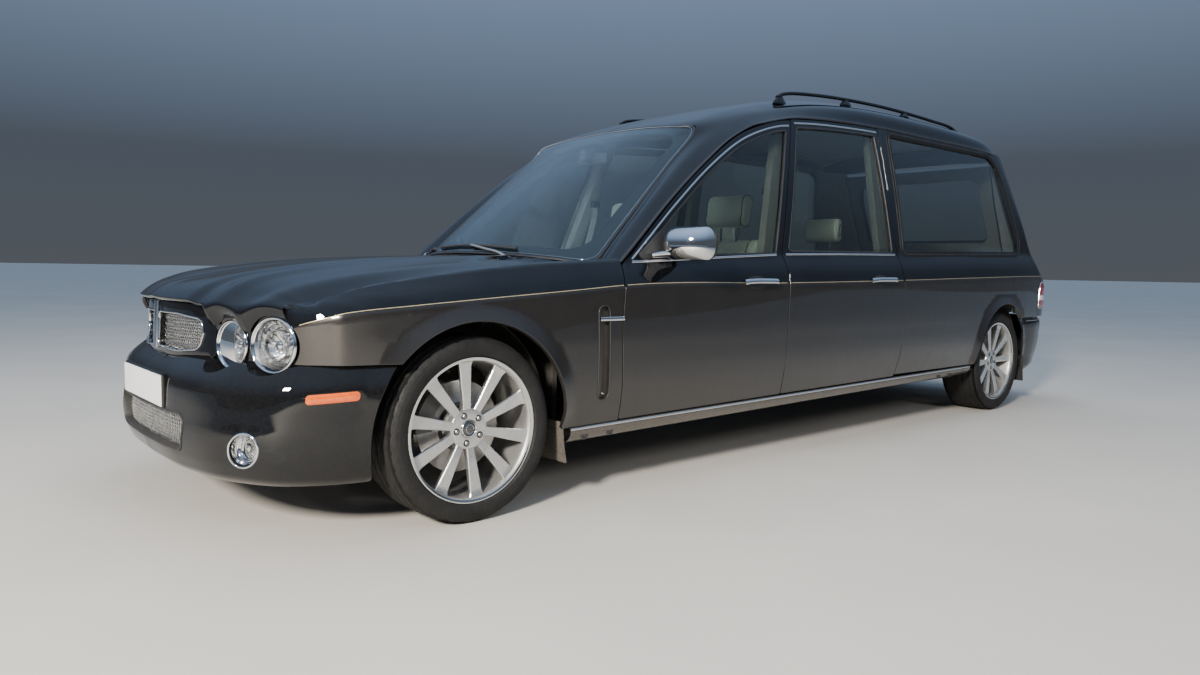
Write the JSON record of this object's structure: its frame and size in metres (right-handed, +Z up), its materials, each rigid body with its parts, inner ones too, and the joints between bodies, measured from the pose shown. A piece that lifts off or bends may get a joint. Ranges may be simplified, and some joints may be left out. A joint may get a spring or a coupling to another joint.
{
  "type": "hearse",
  "caption": "Four-door coachbuilt hearse with a glazed rear deck, roof rails, tailgate and alloy road wheels.",
  "frame": {"origin": "on the ground, at mid length and mid width", "axes": "+Z up; the car's front faces -Y, so +Y runs along its length to the rear; +X is the car's left"},
  "size_m": [2.184, 6.215, 1.9679],
  "materials": {
    "black_paint": "gloss",
    "graphite_paint": "metallic gloss",
    "chrome": "polished",
    "alloy": "silver lacquer",
    "tyre_rubber": "matt",
    "black_trim": "satin",
    "glass_tint": "polished",
    "lamp_glass": "polished",
    "red_lens": "gloss",
    "leather": "satin",
    "dash_trim": "satin",
    "steel": "painted",
    "underbody": "satin",
    "deck_wood": "varnished",
    "exhaust_steel": "brushed"
  },
  "bodies": {
    "body": {"roof": "black_paint", "front_bumper": "black_paint", "rear_bumper": "black_paint", "front_wings": "graphite_paint", "rear_quarters": "graphite_paint", "windscreen": "glass_tint", "deck_side_glass": "glass_tint", "headlamps": "lamp_glass", "fog_lamps": "lamp_glass", "tail_lamps": "red_lens", "grille": "chrome", "roof_rails": "black_trim", "bulkhead": "black_trim", "front_wheel_housings": "black_trim", "rear_wheel_housings": "black_trim", "dashboard": "dash_trim", "front_seats": "leather", "rear_seat": "leather", "floor_pan": "underbody", "sills": "underbody", "front_subframe": "underbody", "rear_axle": "underbody", "coffin_deck": "deck_wood", "engine": "steel", "exhaust": "exhaust_steel"},
    "bonnet": {"bonnet": "black_paint"},
    "tailgate": {"tailgate": "black_paint", "tailgate_glass": "glass_tint"},
    "steering_wheel": {"steering_wheel": "dash_trim"},
    "front_door_left": {"front_door_left": "graphite_paint", "front_door_glass_left": "glass_tint", "mirror_left": "chrome"},
    "rear_door_left": {"rear_door_left": "graphite_paint", "rear_door_glass_left": "glass_tint"},
    "steer_left": {"knuckle_left": "steel"},
    "front_wheel_left": {"tyre_front_left": "tyre_rubber", "wheel_front_left": "alloy"},
    "rear_wheel_left": {"tyre_rear_left": "tyre_rubber", "wheel_rear_left": "alloy"},
    "front_door_right": {"front_door_right": "graphite_paint", "front_door_glass_right": "glass_tint", "mirror_right": "chrome"},
    "rear_door_right": {"rear_door_right": "graphite_paint", "rear_door_glass_right": "glass_tint"},
    "steer_right": {"knuckle_right": "steel"},
    "front_wheel_right": {"tyre_front_right": "tyre_rubber", "wheel_front_right": "alloy"},
    "rear_wheel_right": {"tyre_rear_right": "tyre_rubber", "wheel_rear_right": "alloy"}
  },
  "joints": [
    {"name": "front_door_left", "type": "hinge", "parent": "body", "child": "front_door_left", "pos_m": [0.935, -1.525, 0.6], "axis": [0, 0, -1], "range_deg": [0, 65]},
    {"name": "rear_door_left", "type": "hinge", "parent": "body", "child": "rear_door_left", "pos_m": [0.935, -0.41, 0.6], "axis": [0, 0, -1], "range_deg": [0, 65]},
    {"name": "front_door_right", "type": "hinge", "parent": "body", "child": "front_door_right", "pos_m": [-0.935, -1.525, 0.6], "axis": [0, 0, 1], "range_deg": [0, 65]},
    {"name": "rear_door_right", "type": "hinge", "parent": "body", "child": "rear_door_right", "pos_m": [-0.935, -0.41, 0.6], "axis": [0, 0, 1], "range_deg": [0, 65]},
    {"name": "bonnet", "type": "hinge", "parent": "body", "child": "bonnet", "pos_m": [0, -1.625, 0.922], "axis": [-1, 0, 0], "range_deg": [0, 50]},
    {"name": "tailgate", "type": "hinge", "parent": "body", "child": "tailgate", "pos_m": [0, 2.439, 1.774], "axis": [1, 0, 0], "range_deg": [0, 80]},
    {"name": "steer_left", "type": "hinge", "parent": "body", "child": "steer_left", "pos_m": [0.69, -2.225, 0.3435], "axis": [0, 0, 1], "range_deg": [-32, 32]},
    {"name": "steer_right", "type": "hinge", "parent": "body", "child": "steer_right", "pos_m": [-0.69, -2.225, 0.3435], "axis": [0, 0, 1], "range_deg": [-32, 32]},
    {"name": "steering_wheel", "type": "hinge", "parent": "body", "child": "steering_wheel", "pos_m": [-0.39, -1.09192, 0.88254], "axis": [0, 0.9135, 0.4067], "range_deg": [-480, 480]},
    {"name": "front_wheel_left", "type": "hinge", "parent": "steer_left", "child": "front_wheel_left", "pos_m": [0.778, -2.225, 0.3435], "axis": [1, 0, 0], "continuous": true},
    {"name": "rear_wheel_left", "type": "hinge", "parent": "body", "child": "rear_wheel_left", "pos_m": [0.773, 2.065, 0.3435], "axis": [1, 0, 0], "continuous": true},
    {"name": "front_wheel_right", "type": "hinge", "parent": "steer_right", "child": "front_wheel_right", "pos_m": [-0.778, -2.225, 0.3435], "axis": [1, 0, 0], "continuous": true},
    {"name": "rear_wheel_right", "type": "hinge", "parent": "body", "child": "rear_wheel_right", "pos_m": [-0.773, 2.065, 0.3435], "axis": [1, 0, 0], "continuous": true}
  ],
  "couplings": [
    {"joint": "steer_right", "follows": "steer_left", "ratio": 1},
    {"joint": "steering_wheel", "follows": "steer_left", "ratio": -15}
  ]
}
